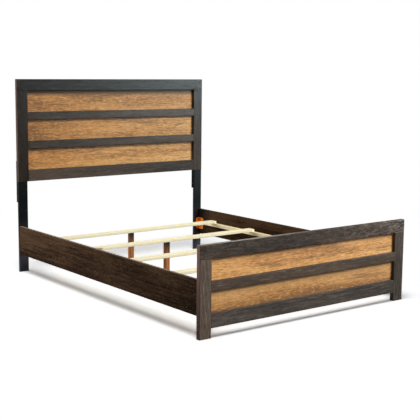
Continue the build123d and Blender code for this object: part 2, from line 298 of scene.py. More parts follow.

# Each board's stain: how pale it came out, how grey, and how much paler it gets along the board. On
# the headboard's top and mid rails that paler right end is partly painted sheen.
BOARD_STAINS = {
    "headboard_left_stile": (0.52, 0.0, 0.0),
    "headboard_right_stile": (0.9, 0.3, -0.10),
    "headboard_top_rail": (0.55, 0.8, 0.10),
    "headboard_upper_mid_rail": (1.25, 0.3, 0.05),
    "headboard_lower_mid_rail": (1.25, 0.2, 0.09),
    "headboard_bottom_rail": (1.32, 0.0, -0.18),
    "footboard_left_stile": (2.4, 0.5, 0.0),
    "footboard_right_stile": (1.25, 0.7, 0.04),
    "footboard_top_rail": (1.15, 0.0, 0.0),
    "footboard_mid_rail": (1.58, 0.2, -0.01),
    "footboard_bottom_rail": (1.15, 0.9, -0.08),
}
print(f"stains for {len(BOARD_STAINS)} frame boards")

# %% Places on a board
HALF_WIDTH = cad_box[1][0]
END_SKIN = 0.0008
END_HEIGHTS = (0.05, 0.38)
END_STAINS = [(0.0, (0.028, 0.013, 0.008)), (0.5, (0.064, 0.033, 0.024)), (1.0, (0.145, 0.070, 0.062))]
TOP_SKIN = 0.0005


def along_board(tree, node, axis):
    """From minus one at a board's lower or left end to one at its other end."""
    index = "xyz".index(axis)
    low, high = (corner[index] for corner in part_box(node))
    return spread(tree, coordinate(tree, index), low, high, -1.0, 1.0)


def outer_ends(tree):
    """The faces at the bed's two outer sides as one, and their colour, which is deep at the floor."""
    side = calc(tree, "ABSOLUTE", coordinate(tree, "X"))
    outside = spread(tree, side, HALF_WIDTH - 2 * END_SKIN, HALF_WIDTH - END_SKIN)
    height = spread(tree, coordinate(tree, "Z"), *END_HEIGHTS)
    return outside, ramp(tree, height, *END_STAINS)


def top_face(tree, node):
    """One on a board's top face."""
    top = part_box(node)[1].z
    return spread(tree, coordinate(tree, "Z"), top - 2 * TOP_SKIN, top - TOP_SKIN)


# %% [markdown]
# ## Curly top rail
# The footboard's top rail has curly grain: its fibres swing to and fro, so dips and crests lie close
# together, and painted sheen makes the crests paler towards the right. A painted highlight lies on its
# top face in a place on the left. The plain stain can't show that, so the rail gets one more layer, of
# noise that is warped more and stretched less.

# %% Curly top rail
# The colours of the painted sheen on the crests and of the painted highlight on the top face.
CREST_SHEEN = (0.25, 0.215, 0.195)
PAINTED_TOP_HIGHLIGHT = (0.40, 0.35, 0.31)
CURLS = (20.0, 100.0)
# What spread takes, here and below: a range, and the range that it is stretched over.
CURL_DIP = (0.50, 0.36, 0.0, 0.75)
CURL_CREST = (0.48, 0.66)
# Where the painted sheen lies on the crests, and where the painted highlight lies on the top face.
SHEEN_ON_CRESTS = (0.10, 0.75, 0.12, 0.85)
HIGHLIGHT_LEFT = (-0.80, -0.54, 0.62, 1.0)
HIGHLIGHT_RIGHT = (0.06, -0.36, 0.0, 0.75)


def curly_figure(tree, board, colour, node):
    """Dips and crests of curly grain over a colour, painted sheen on the crests, and a painted highlight
    on the top face.
    """
    across = coordinate(tree, "X")
    curls = streaks(tree, board, *CURLS, warp=1.2)
    dip = spread(tree, curls, *CURL_DIP)
    # Painted sheen on the crests, growing to the right, and a painted highlight on the top face.
    crest_sheen = calc(tree, "MULTIPLY", spread(tree, curls, *CURL_CREST), spread(tree, across, *SHEEN_ON_CRESTS))
    highlight_patch = calc(tree, "MULTIPLY", spread(tree, across, *HIGHLIGHT_LEFT), spread(tree, across, *HIGHLIGHT_RIGHT))
    top_highlight = calc(tree, "MULTIPLY", top_face(tree, node), highlight_patch)
    return lay_over(tree, colour, (dip, STAIN_PORE), (crest_sheen, CREST_SHEEN), (top_highlight, PAINTED_TOP_HIGHLIGHT))


# %% [markdown]
# ## Brushed boards
# A board is finished in layers, as at the bench: stain, pores, rubbed ends and worn edges, with
# glints painted on the raised fibres. One ramp of colours could hold them all, but then each couldn't
# follow its own grain.

# %% Dark frame
FRAME_TONES = [(0.36, 0.5), (0.5, 1.0), (0.64, 1.65)]
# Where the painted glints on the raised fibres lie.
FRAME_PAINTED_GLINT = (0.56, 0.74, 0.0, 0.45)
OPEN_PORES = (0.44, 0.32, 0.0, 0.8)
FRAME_RUB = (0.45, 0.65, 0.0, 0.45)
FRAME_ROUGH = (0.35, 0.65, 0.38, 0.26)
# The depth of the relief and the radius of the edges, here and in the finishes below.
FRAME_RELIEF = (0.0003, 0.0012)
EDGE_REACH = 0.003
# How much paler the painted glints are than the stain.
GLINT_LIFT = 3.0
STAIN_FIBRE = (0.17, 0.15, 0.14)
TOP_ROUGHNESS = 0.85
# How far the outer ends of the two frames are rubbed through.
END_RUB = {"headboard": 0.3, "footboard": 1.0}


def dark_frame(name, grain, number, node):
    """Dark stain over wire-brushed open grain."""
    material, tree, shader = new_finish(name, shine=0.05)
    board = plank(tree, grain, number)
    bands, short, fibres, pores = brushed_grain(tree, board)
    pale, grey, drift = BOARD_STAINS[node]
    stain = STAIN_WARM.lerp(STAIN_GREY, grey) * pale
    ends = along_board(tree, node, grain)
    # Paler along the board by its drift, which on the headboard's top and mid rails is partly painted
    # sheen.
    tone = weigh(tree, (bands, 0.40), (short, 0.36), (fibres, 0.24), (ends, drift))
    colour = ramp(tree, tone, *[(place, shade(stain, factor)) for place, factor in FRAME_TONES])
    if node == "footboard_top_rail":
        colour = curly_figure(tree, board, colour, node)
    # Painted glints on the raised fibres.
    painted_glint = spread(tree, short, *FRAME_PAINTED_GLINT)
    pore_dark = spread(tree, pores, *OPEN_PORES)
    outside, end_stain = outer_ends(tree)
    bare = calc(tree, "MULTIPLY", outside, END_RUB[node.split("_")[0]])
    rub = calc(tree, "MULTIPLY", worn_edges(tree, EDGE_REACH), spread(tree, short, *FRAME_RUB))
    colour = lay_over(tree, colour, (painted_glint, shade(stain, GLINT_LIFT)), (pore_dark, STAIN_PORE))
    colour = lay_over(tree, colour, (bare, end_stain), (rub, STAIN_FIBRE))
    matt_top = calc(tree, "MULTIPLY", top_face(tree, node), TOP_ROUGHNESS)
    dress(tree, shader, colour, calc(tree, "MAXIMUM", spread(tree, fibres, *FRAME_ROUGH), matt_top))
    height = calc(tree, "SUBTRACT", weigh(tree, (fibres, 0.6), (short, 0.5)), pore_dark)
    relief(tree, shader, height, *FRAME_RELIEF)
    return material


# %% [markdown]
# ## Side rails
# The side rails are stained dark too, but hardly brushed, so they stay smooth, red and fine-grained.
# Painted light makes them paler toward the head end and toward the top edge, and painted shade darkens
# their inner faces beside the legs. A painted highlight lies on the left rail's top face. The frame's
# finish would be too coarse, so the rails have their own, with fine lines and small flecks.

# %% Places on a side rail
# How fast the painted light grows from the foot end toward the head.
HEAD_CURVE = 0.6
LEG_SKIN = 0.0005
# How far along the rail the painted shade beside the leg reaches.
LEG_SHADE_REACH = (0.16, 0.04)


def painted_light_toward_head(tree):
    """Painted light: zero at the foot end, rising fast to one at the head."""
    along = spread(tree, coordinate(tree, "Y"), cad_box[0][1], cad_box[1][1])
    return calc(tree, "POWER", along, HEAD_CURVE)


def shade_near_leg(tree, node):
    """One on a rail's inner face close to its leg, where shade is painted."""
    low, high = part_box(node)
    inner = min(abs(low.x), abs(high.x))
    side = calc(tree, "ABSOLUTE", coordinate(tree, "X"))
    inside = spread(tree, side, inner + LEG_SKIN, inner + 2 * LEG_SKIN, 1.0, 0.0)
    close = spread(tree, coordinate(tree, "Y"), *(high.y - reach for reach in LEG_SHADE_REACH))
    return calc(tree, "MULTIPLY", inside, close)


# %% Side rails
RAIL_DEEP = (0.0075, 0.0032, 0.0012)
RAIL_MIDDLE = (0.024, 0.0118, 0.0052)
RAIL_PALE = (0.060, 0.033, 0.0175)
RAIL_FLECK = (0.085, 0.056, 0.032)
# The colour of the painted highlight on the rails' top faces.
RAIL_TOP_HIGHLIGHT = (0.24, 0.185, 0.145)
RAIL_LINES = (3.0, 70.0)
RAIL_SPECKS = (85.0, 120.0)
RAIL_PORES = (0.42, 0.30, 0.0, 0.7)
RAIL_FLECKS = (0.60, 0.72, 0.0, 0.65)
SATIN = (0.35, 0.65, 0.55, 0.42)
RAIL_RELIEF = (0.0002, 0.0012)
# How strong the painted highlight is on each rail's top face.
TOP_HIGHLIGHT_AMOUNT = {"left_side_rail": 0.9, "right_side_rail": 0.1}


def side_rail(name, grain, number, node):
    """Dark stain on smooth, fine-grained wood."""
    material, tree, shader = new_finish(name, shine=0.008)
    board = plank(tree, grain, number)
    bands, short, fibres, pores = brushed_grain(tree, board)
    lines = streaks(tree, board, *RAIL_LINES, detail=5.0)
    specks = streaks(tree, board, *RAIL_SPECKS, detail=2.0)
    # Painted light: paler toward the head end and toward the top edge.
    edges = along_board(tree, node, "z")
    shares = [(bands, 0.20), (lines, 0.30), (short, 0.25), (fibres, 0.25)]
    tone = weigh(tree, *shares, (painted_light_toward_head(tree), 0.135), (edges, 0.05))
    colour = ramp(tree, tone, (0.48, RAIL_DEEP), (0.57, RAIL_MIDDLE), (0.67, RAIL_PALE))
    pore_dark = spread(tree, pores, *RAIL_PORES)
    flecks = spread(tree, specks, *RAIL_FLECKS)
    # A painted highlight on the top face.
    top_highlight = calc(tree, "MULTIPLY", top_face(tree, node), TOP_HIGHLIGHT_AMOUNT[node])
    colour = lay_over(tree, colour, (pore_dark, RAIL_DEEP), (flecks, RAIL_FLECK))
    # Painted shade on the inner face beside the leg, then the painted highlight on the top face.
    colour = lay_over(tree, colour, (shade_near_leg(tree, node), STAIN_PORE), (top_highlight, RAIL_TOP_HIGHLIGHT))
    dress(tree, shader, colour, spread(tree, fibres, *SATIN))
    relief(tree, shader, calc(tree, "SUBTRACT", fibres, pore_dark), *RAIL_RELIEF)
    return material


# %% [markdown]
# ## Honey panels
# The panels have a light honey stain that leaves the grain open. The ground is made of short, silky
# streaks, with broad paler and darker bands over them, brown mineral streaks and fine pores. Shade
# below the rail is painted into the colour along the top of each opening. The headboard's panels are
# redder at the left, and cooler at the right, which is partly painted sheen. Flat colour with a bump
# would look like plastic here, so the streaks are in the colour.

# %% Honey stain
HONEY_DEEP = (0.31, 0.145, 0.052)
HONEY_MIDDLE = (0.65, 0.315, 0.100)
HONEY_PALE = (0.86, 0.49, 0.185)
HONEY_STREAK = (0.17, 0.086, 0.037)
# The colour of the painted shade below the rail.
HONEY_PAINTED_SHADE = (0.098, 0.046, 0.012)
# The panels are redder at the left and cooler at the right; the cooler right is partly painted sheen.
HONEY_LEFT = (1.0, 0.92, 0.75)
HONEY_RIGHT = (0.95, 1.0, 1.0)
# How far down the painted shade below the rail reaches.
RAIL_SHADE_REACH = 0.044
GROOVE_DEPTH = 0.006

# Each panel's stain: how pale it came out, how much shade is painted below the rail, how much paler
# it gets to the right and to the top, and how much redder it is at the left than at the right.
PANEL_STAINS = {
    "headboard_upper_panel": (1.07, 0.95, 0.03, 0.01, 0.8),
    "headboard_middle_panel": (1.07, 0.06, 0.028, 0.02, 0.9),
    "headboard_lower_panel": (1.16, 0.08, 0.02, -0.005, 1.0),
    "footboard_upper_panel": (1.01, 0.22, 0.0, -0.03, 0.2),
    "footboard_lower_panel": (0.79, 0.32, 0.0, 0.12, 0.15),
}
print(f"stains for {len(PANEL_STAINS)} panels")


def shade_below_the_rail(tree, node):
    """One at the top edge of a panel's opening, and zero farther down than the painted shade reaches."""
    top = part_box(node)[1].z - GROOVE_DEPTH
    return spread(tree, coordinate(tree, "Z"), top - RAIL_SHADE_REACH, top - 0.4 * RAIL_SHADE_REACH)


# %% Honey panels
HONEY_MINERAL = (3.4, 36.0)
HONEY_SPECKS = (30.0, 140.0)
HONEY_FLECKS = (0.57, 0.70, 0.0, 0.55)
HONEY_STREAKS = (0.58, 0.74, 0.0, 0.75)
HONEY_ROUGH = (0.35, 0.65, 0.52, 0.40)
HONEY_RELIEF = (0.0003, 0.0005)


def honey_panel(name, grain, number, node):
    """Light honey stain on streaky wood."""
    material, tree, shader = new_finish(name, shine=0.06)
    board = plank(tree, grain, number)
    bands, short, fibres, pores = brushed_grain(tree, board)
    mineral = streaks(tree, board, *HONEY_MINERAL, warp=0.5)
    specks = streaks(tree, board, *HONEY_SPECKS, detail=2.0)
    pale, rail_shade_amount, drift, rise, redder = PANEL_STAINS[node]
    ends = along_board(tree, node, "x")
    edges = along_board(tree, node, "z")
    shares = [(bands, 0.40), (short, 0.24), (fibres, 0.16), (specks, 0.24)]
    tone = weigh(tree, *shares, (ends, drift), (edges, rise))
    stops = [(0.42, HONEY_DEEP), (0.52, HONEY_MIDDLE), (0.63, HONEY_PALE)]
    colour = ramp(tree, tone, *[(place, shade(stop, pale)) for place, stop in stops])
    # Redder at the left, cooler at the right: the cooler right is partly painted sheen.
    tint = ramp(tree, spread(tree, ends, -1.0, 1.0), (0.0, HONEY_LEFT), (1.0, HONEY_RIGHT))
    colour = blend_colour(tree, redder, colour, tint, "MULTIPLY")
    fleck = spread(tree, specks, *HONEY_FLECKS)
    streak = spread(tree, mineral, *HONEY_STREAKS)
    pore_dark = spread(tree, pores, *OPEN_PORES)
    # Painted shade below the rail.
    rail_shade = calc(tree, "MULTIPLY", shade_below_the_rail(tree, node), rail_shade_amount)
    colour = lay_over(tree, colour, (fleck, shade(HONEY_PALE, pale)), (streak, HONEY_STREAK))
    colour = lay_over(tree, colour, (pore_dark, HONEY_STREAK), (rail_shade, HONEY_PAINTED_SHADE))
    dress(tree, shader, colour, spread(tree, fibres, *HONEY_ROUGH))
    height = calc(tree, "SUBTRACT", weigh(tree, (fibres, 0.6), (short, 0.4)), pore_dark)
    relief(tree, shader, height, *HONEY_RELIEF)
    return material


# %% [markdown]
# ## Painted legs
# The headboard's legs and splices are painted black, so the grain shows only as a faint relief. Plain
# black would lose their shape, so the paint is rubbed along the edges in places, and its colour gets
# paler and cooler towards the floor.

# %% Painted legs
PAINT_BLACK = (0.0030, 0.0031, 0.0040)
PAINT_WORN = (0.035, 0.027, 0.022)
# The paler, cooler colour towards the floor.
PAINT_NEAR_FLOOR = (0.068, 0.070, 0.082)
PAINT_GRAIN = (8.0, 160.0)
PAINT_CLOUDS = (3.0, 5.0)
PAINT_RUB = (0.45, 0.62, 0.0, 0.6)
PAINT_ROUGH = (0.35, 0.65, 0.30, 0.42)
PAINT_RELIEF = (0.00012, 0.0015)
NEAR_FLOOR_REACH = 0.38


def black_leg(name, grain, number, node):
    """Black satin paint with the grain showing through, getting paler towards the floor."""
    material, tree, shader = new_finish(name, shine=0.045)
    board = plank(tree, grain, number)
    fine = streaks(tree, board, *PAINT_GRAIN)
    clouds = streaks(tree, board, *PAINT_CLOUDS)
    rub = calc(tree, "MULTIPLY", worn_edges(tree, EDGE_REACH), spread(tree, clouds, *PAINT_RUB))
    # Paler towards the floor.
    toward_floor = spread(tree, coordinate(tree, "Z"), NEAR_FLOOR_REACH, 0.0)
    colour = lay_over(tree, PAINT_BLACK, (rub, PAINT_WORN), (toward_floor, PAINT_NEAR_FLOOR))
    dress(tree, shader, colour, spread(tree, clouds, *PAINT_ROUGH))
    relief(tree, shader, fine, *PAINT_RELIEF)
    return material


# %% [markdown]
# ## Bare pine
# Slats and ledgers are planed and left bare: cream early wood, amber late wood, and a small knot here
# and there. Stretched noise alone has no year rings. A ring wave about a heart that lies behind the
# board, at a slant to it, is cut by the faces as a log is by the saw, so flat faces get long flames
# and ends get arcs. The knots are the middles of stretched cells.

# %% Year rings
RING_SLANT = (0.0, math.radians(1.1), math.radians(1.6))
RING_HEART = (0.0, 0.11, 0.05)
RING_DRIFT = (2.2, 9.0, 9.0)
WAVES_PER_UNIT = 20.0 / math.tau


def growth_rings(tree, coordinates, count, warp):
    """Year rings, so many to the metre, about a heart that lies behind the board."""
    sockets = {"Vector": coordinates, "Rotation": RING_SLANT, "Location": RING_HEART}
    slanted = put(tree, "Mapping", sockets).outputs["Vector"]
    slow = put(tree, "VectorMath", {0: slanted, 1: RING_DRIFT}, operation="MULTIPLY")
    sockets = {"Vector": slow.outputs[0], "Scale": 1.0, "Detail": 2.0}
    drift = put(tree, "TexNoise", sockets).outputs["Color"]
    sockets = {0: drift, 1: (0.0, warp, warp), 2: slanted}
    bent = put(tree, "VectorMath", sockets, operation="MULTIPLY_ADD").outputs[0]
    sockets = {"Vector": bent, "Scale": count / WAVES_PER_UNIT}
    rings = put(tree, "TexWave", sockets, wave_type="RINGS", rings_direction="X")
    return rings.outputs["Fac"]


# %% Bare pine
PINE_EARLY = (0.90, 0.83, 0.575)
PINE_LATE = (0.82, 0.69, 0.40)
PINE_KNOT = (0.28, 0.13, 0.05)
LEDGER_TINT = (1.0, 0.935, 0.84)
PINE_GRAIN = (6.0, 210.0)
PINE_RELIEF = (0.00015, 0.0012)
KNOT_CELLS = (2.6, 9.0, 9.0)
KNOT_SIZE = (0.11, 0.06, 0.0, 0.8)


def pine(name, grain, number, node):
    """Bare planed softwood with year rings and a few small knots."""
    material, tree, shader = new_finish(name, roughness=0.62, shine=0.2)
    board = plank(tree, grain, number)
    rings = growth_rings(tree, board, count=160.0, warp=0.012)
    fine = streaks(tree, board, *PINE_GRAIN)
    late = calc(tree, "MULTIPLY", spread(tree, rings, 0.55, 1.0), spread(tree, fine, 0.3, 0.7))
    cells = put(tree, "VectorMath", {0: board, 1: KNOT_CELLS}, operation="MULTIPLY").outputs[0]
    nearest = put(tree, "TexVoronoi", {"Vector": cells, "Scale": 1.0}).outputs["Distance"]
    knot = spread(tree, nearest, *KNOT_SIZE)
    colour = lay_over(tree, PINE_EARLY, (late, PINE_LATE), (knot, PINE_KNOT))
    if node.endswith("ledger"):
        colour = blend_colour(tree, 1.0, colour, LEDGER_TINT, "MULTIPLY")
    dress(tree, shader, colour)
    relief(tree, shader, fine, *PINE_RELIEF)
    return material


# %% [markdown]
# ## Stained supports
# The square supports under the slats have a thin reddish stain. Close below the slat they are nearly
# black with shade. That could be left to the slat's shadow, but it is darker than that shadow, so it
# is painted into the colour, by height.

# %% Stained supports
SUPPORT_DEEP = (0.20, 0.062, 0.017)
SUPPORT_PALE = (0.50, 0.20, 0.065)
# The colour of the painted shade close below the slat.
SUPPORT_PAINTED_SHADE = (0.022, 0.008, 0.003)
SUPPORT_BANDS = (3.0, 45.0)
SUPPORT_GRAIN = (12.0, 260.0)
SUPPORT_RELIEF = (0.0002, 0.0012)
TOP_SHADE = 0.12


def stained_support(name, grain, number, node):
    """Thin reddish brown stain, with painted shade at the top."""
    material, tree, shader = new_finish(name, shine=0.2)
    board = plank(tree, grain, number)
    bands = streaks(tree, board, *SUPPORT_BANDS, warp=0.4)
    fine = streaks(tree, board, *SUPPORT_GRAIN)
    tone = weigh(tree, (bands, 0.55), (fine, 0.45))
    colour = ramp(tree, tone, (0.36, SUPPORT_DEEP), (0.64, SUPPORT_PALE))
    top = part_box(node)[1].z
    # Painted shade close below the slat, by height.
    painted_shade = spread(tree, coordinate(tree, "Z"), top - TOP_SHADE, top - 0.15 * TOP_SHADE)
    colour = blend_colour(tree, painted_shade, colour, SUPPORT_PAINTED_SHADE)
    dress(tree, shader, colour, spread(tree, fine, *SATIN))
    relief(tree, shader, fine, *SUPPORT_RELIEF)
    return material


# %% [markdown]
# ## Plated steel and plastic
# The brackets and their screws are steel with a yellow passivated plating, whose colour drifts from
# gold to rust. The other screws are bright zinc. Both are the same finish in other colours: clouds in
# the colour, and fine scratches in the roughness, which a single grey metal lacks. The glides are
# moulded black plastic, with a fine grain and scuffs.

# %% Plated steel
ZINC_GOLD = (0.74, 0.26, 0.035)
ZINC_RUST = (0.47, 0.10, 0.012)
ZINC_BRIGHT = (0.62, 0.62, 0.63)
ZINC_DULL = (0.40, 0.40, 0.42)
SCRATCHES = (120.0, 1400.0)
STEEL_ROUGH = (0.3, 0.7, 0.30, 0.48)
STEEL_RELIEF = (0.00003, 0.0006)


def plated(name, pale, deep, cloud_scale):
    """Plated steel: clouds of colour, and fine scratches in the roughness."""
    material, tree, shader = new_finish(name, metal=1.0)
    place = put(tree, "TexCoord").outputs["Object"]
    clouds = streaks(tree, place, cloud_scale, cloud_scale, warp=0.8)
    scratches = streaks(tree, place, *SCRATCHES, detail=2.0)
    colour = ramp(tree, clouds, (0.38, deep), (0.62, pale))
    dress(tree, shader, colour, spread(tree, scratches, *STEEL_ROUGH))
    relief(tree, shader, scratches, *STEEL_RELIEF)
    return material


# %% Moulded plastic
GLIDE_BLACK = (0.020, 0.020, 0.022)
GLIDE_SCUFF = (0.075, 0.073, 0.072)
SCUFFS = (60.0, 260.0)
SCUFF_AMOUNT = (0.55, 0.75, 0.0, 0.6)
MOULD_GRAIN = 1500.0
PLASTIC_RELIEF = (0.00005, 0.0006)


def moulded_plastic(name):
    """Matt black plastic with a fine moulded grain and scuffs."""
    material, tree, shader = new_finish(name, roughness=0.6, shine=0.4)
    place = put(tree, "TexCoord").outputs["Object"]
    scuffs = streaks(tree, place, *SCUFFS)
    grain = streaks(tree, place, MOULD_GRAIN, MOULD_GRAIN, detail=2.0)
    colour = blend_colour(tree, spread(tree, scuffs, *SCUFF_AMOUNT), GLIDE_BLACK, GLIDE_SCUFF)
    dress(tree, shader, colour)
    relief(tree, shader, grain, *PLASTIC_RELIEF)
    return material


# %% [markdown]
# ## Finishing the boards
# Each board gets its own material, because each is cut from another plank. One shared material would
# be shorter, but a board's number and stain are its own. The grain runs along the longest side, which
# the board's own box tells. Steel and plastic have no planks, so they share theirs.

# %% Finish the boards
BOARD_FINISHES = {
    "dark_frame": dark_frame,
    "honey_panel": honey_panel,
    "black_leg": black_leg,
    "pine": pine,
    "stained_support": stained_support,
}
slots = {row["node"]: row["material_slot"] for row in frame["record"]["subparts"]}
yellow_zinc = plated("yellow_zinc", ZINC_GOLD, ZINC_RUST, 45.0)
bright_zinc = plated("bright_zinc", ZINC_BRIGHT, ZINC_DULL, 90.0)
glide_plastic = moulded_plastic("glide_plastic")
SHARED_FINISHES = {"yellow_zinc": yellow_zinc, "fastener": bright_zinc, "glide": glide_plastic}


def longest_side(node):
    """The axis along which a node is longest."""
    low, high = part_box(node)
    size = high - low
    return "xyz"[max(range(3), key=lambda axis: size[axis])]


for number, node in enumerate(sorted(nodes)):
    if slots[node] in SHARED_FINISHES:
        finish = SHARED_FINISHES[slots[node]]
    else:
        make = side_rail if node.endswith("side_rail") else BOARD_FINISHES[slots[node]]
        finish = make(node + "_finish", longest_side(node), number, node)
    nodes[node].data.materials.clear()
    nodes[node].data.materials.append(finish)
print(f"{len(bpy.data.materials)} finishes on {len(nodes)} nodes")

# %% [markdown]
# ## Screws and bolts
# The solids mark each screw with a plain bar and a plain head. On the bed the splices are held by
# coach screws with a flanged hexagon head, the brackets by hexagon bolts and pan-head screws, and
# ledgers and slats by countersunk screws. All round parts are drawn the same way, as a rim that is
# carried from one radius and height to the next, like a profile on a lathe. A spun profile would do
# too, but a rim can start from a shape that isn't round, such as a recess.

# %% Turned parts
RIM_SIDES = 24
TIP_SHARE = 0.15


def only(kind, items):
    """The vertices, the edges or the faces among what an operator made."""
    return [item for item in items if isinstance(item, kind)]


def carry_rim(shape, rim, radius, height):
    """Draw a wall from an open rim to another radius and height, and give the new rim."""
    made = bmesh.ops.extrude_edge_only(shape, edges=rim)["geom"]
    verts = only(bmesh.types.BMVert, made)
    for vert in verts:
        vert.co = (vert.co.xy.normalized() * radius).to_3d() + Vector((0.0, 0.0, height))
    return [edge for edge in only(bmesh.types.BMEdge, made) if set(edge.verts) <= set(verts)]


def capped_rim(shape, radius, height, sides):
    """A disc or a hexagon, as a rim to start from and the face that closes it."""
    place = Matrix.Translation((0.0, 0.0, height)) @ Matrix.Rotation(math.pi / 6, 4, "Z")
    made = bmesh.ops.create_circle(shape, cap_ends=True, segments=sides, radius=radius, matrix=place)
    rim = list({edge for vert in made["verts"] for edge in vert.link_edges})
    return rim, rim[0].link_faces[0]


def shank_with_tip(shape, rim, radius, length):
    """Carry a rim down a plain shank, and close it in a point."""
    rim = carry_rim(shape, rim, radius, -(1.0 - TIP_SHARE) * length)
    verts = list({vert for edge in rim for vert in edge.verts})
    bmesh.ops.pointmerge(shape, verts=verts, merge_co=(0.0, 0.0, -length))
    bmesh.ops.recalc_face_normals(shape, faces=shape.faces)


def round_edges(shape, edges, offset, segments):
    """Bevel some edges of a shape."""
    bmesh.ops.bevel(
        shape, geom=edges, offset=offset, affect="EDGES", segments=segments, profile=0.5, material=-1
    )


# %% [markdown]
# ## Cross-head screws
# A cross recess is pressed into the head. It is nine cells, five of them pushed in, and the outline of
# the nine is the first rim that is carried out. A boolean cut would do it too, but leaves long thin
# faces.

# %% Cross-head screws
RECESS_HALF = 0.55
RECESS_DEPTH = 0.45
RECESS_TAPER = 0.8


def cross_recess(shape, half, height, depth):
    """A square of nine cells with the cross of five pressed in. It gives the outer edges."""
    bmesh.ops.create_grid(
        shape, x_segments=3, y_segments=3, size=half, matrix=Matrix.Translation((0.0, 0.0, height))
    )
    middles = {face: face.calc_center_median() for face in shape.faces}
    cross = [face for face in shape.faces if min(map(abs, middles[face].xy)) < half / 3]
    made = bmesh.ops.extrude_face_region(shape, geom=cross)["geom"]
    for vert in only(bmesh.types.BMVert, made):
        vert.co = Vector((RECESS_TAPER * vert.co.x, RECESS_TAPER * vert.co.y, height - depth))
    bmesh.ops.delete(shape, geom=cross, context="FACES")
    return [edge for edge in shape.edges if edge.is_boundary]


def cross_screw(head, radius, length):
    """A wood screw. The head is a profile of radii and heights from its top down to the shank."""
    shape = bmesh.new()
    top_radius, top = head[0]
    rim = cross_recess(shape, RECESS_HALF * top_radius, top, RECESS_DEPTH * top_radius)
    for ring_radius, height in head:
        rim = carry_rim(shape, rim, ring_radius, height)
    shank_with_tip(shape, rim, radius, length)
    return shape


# %% [markdown]
# ## Hexagon screws
# A forged hexagon head has a washer-like flange, a chamfer round its top and a slight dish in it. The
# hexagon stands on the flange as a shape of its own: joining a hexagon to a circle would leave odd
# faces between them, and the joint is hidden.

# %% Hexagon screws
FLANGE_SHARE = 0.3
FLANGE_TOP = 0.9
FLANGE_PROFILE = [(1.15, 0.6), (1.15, 0.0)]
HEX_WIDTH = 0.98
DISH_RIM = 0.22
DISH_SHARE = 0.06
HEX_CHAMFER = 0.0004
TINY = 1e-6


def hex_screw(head_radius, head_height, radius, length):
    """A flange and shank with a chamfered, slightly dished hexagon on top."""
    shape = bmesh.new()
    flange = FLANGE_SHARE * head_height
    rim, _ = capped_rim(shape, FLANGE_TOP * head_radius, flange, RIM_SIDES)
    for ring, height in [*FLANGE_PROFILE, (radius / head_radius, 0.0)]:
        rim = carry_rim(shape, rim, ring * head_radius, height * flange)
    shank_with_tip(shape, rim, radius, length)
    _, foot = capped_rim(shape, HEX_WIDTH * head_radius, flange, 6)
    made = bmesh.ops.extrude_face_region(shape, geom=[foot])["geom"]
    crown = only(bmesh.types.BMFace, made)[0]
    for vert in crown.verts:
        vert.co.z = head_height
    bmesh.ops.inset_individual(shape, faces=[crown], thickness=DISH_RIM * head_radius)
    for vert in crown.verts:
        vert.co.z -= DISH_SHARE * head_height
    rims = [edge for edge in shape.edges if all(v.co.z > head_height - TINY for v in edge.verts)]
    round_edges(shape, rims, HEX_CHAMFER, 2)
    bmesh.ops.recalc_face_normals(shape, faces=shape.faces)
    return shape


# %% [markdown]
# ## Driving the screws
# The places of the screws could be typed in, but the solids already know them: the separate bars of a
# node are found in a copy of its mesh, and each one's box gives the place, the length and the head's
# end. Heads between the boards face the middle of the bed. The splices' heads face back, and the
# supports' heads face up. All screws of a node become one piece.

# %% Places of the screws
def single_boxes(node):
    """The lowest and the highest corner of each separate solid in a node."""
    copy = bmesh.new()
    copy.from_mesh(nodes[node].data)
    bmesh.ops.remove_doubles(copy, verts=copy.verts, dist=TINY)
    boxes, seen = [], set()
    for start in copy.verts:
        waiting, places = [start], []
        while waiting:
            vert = waiting.pop()
            if vert not in seen:
                seen.add(vert)
                places.append(vert.co)
                waiting += [edge.other_vert(vert) for edge in vert.link_edges]
        if places:
            boxes.append([Vector(map(end, zip(*places))) for end in (min, max)])
    copy.free()
    return boxes


def bite(node, axis, head_height):
    """How deep the screws of a node go, from below the head to the tip."""
    low, high = single_boxes(node)[0]
    return high[axis] - low[axis] - head_height


# %% Drive the screws
def drive(template, node, axis, to_middle, head_height):
    """Copies of a screw at each solid of a node, in one mesh."""
    single = bpy.data.meshes.new("template")
    template.to_mesh(single)
    template.free()
    whole = bmesh.new()
    for low, high in single_boxes(node):
        place = (low + high) / 2
        outward = Vector()
        outward[axis] = -math.copysign(1.0, place[axis]) if to_middle else 1.0
        end = high if outward[axis] > 0 else low
        place[axis] = end[axis] - outward[axis] * head_height
        before = len(whole.verts)
        whole.from_mesh(single)
        whole.verts.ensure_lookup_table()
        turn = outward.to_track_quat("Z", "Y").to_matrix().to_4x4()
        matrix = Matrix.Translation(place) @ turn
        bmesh.ops.transform(whole, matrix=matrix, verts=whole.verts[before:])
    bpy.data.meshes.remove(single)
    return whole


# %% Add a piece
SHARP_ANGLE = math.radians(38)


def add_piece(name, shape, finishes, body, node):
    """A mesh as a piece of the bed, in place of a node and riding on its body."""
    mesh = bpy.data.meshes.new(name)
    shape.to_mesh(mesh)
    shape.free()
    for finish in finishes:
        mesh.materials.append(finish)
    mesh.shade_smooth()
    mesh.set_sharp_from_angle(angle=SHARP_ANGLE)
    piece = bpy.data.objects.new(name, mesh)
    scene.collection.objects.link(piece)
    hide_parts(node)
    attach(piece, body)
    print(f"{name}: {len(mesh.polygons)} faces for {node}")


# %% Coach screws and bolts
COACH_HEAD, COACH_HEIGHT, COACH_RADIUS = 0.0075, 0.005, 0.004
BOLT_HEAD, BOLT_HEIGHT, BOLT_RADIUS = 0.0070, 0.005, 0.004
# The bracket's steel is 3 mm, and the bolt ends 1 mm short of its insert's end.
BOLT_BEYOND_INSERT = 0.002
INSERT_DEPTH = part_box("bracket_inserts")[1].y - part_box("headboard_left_leg")[0].y

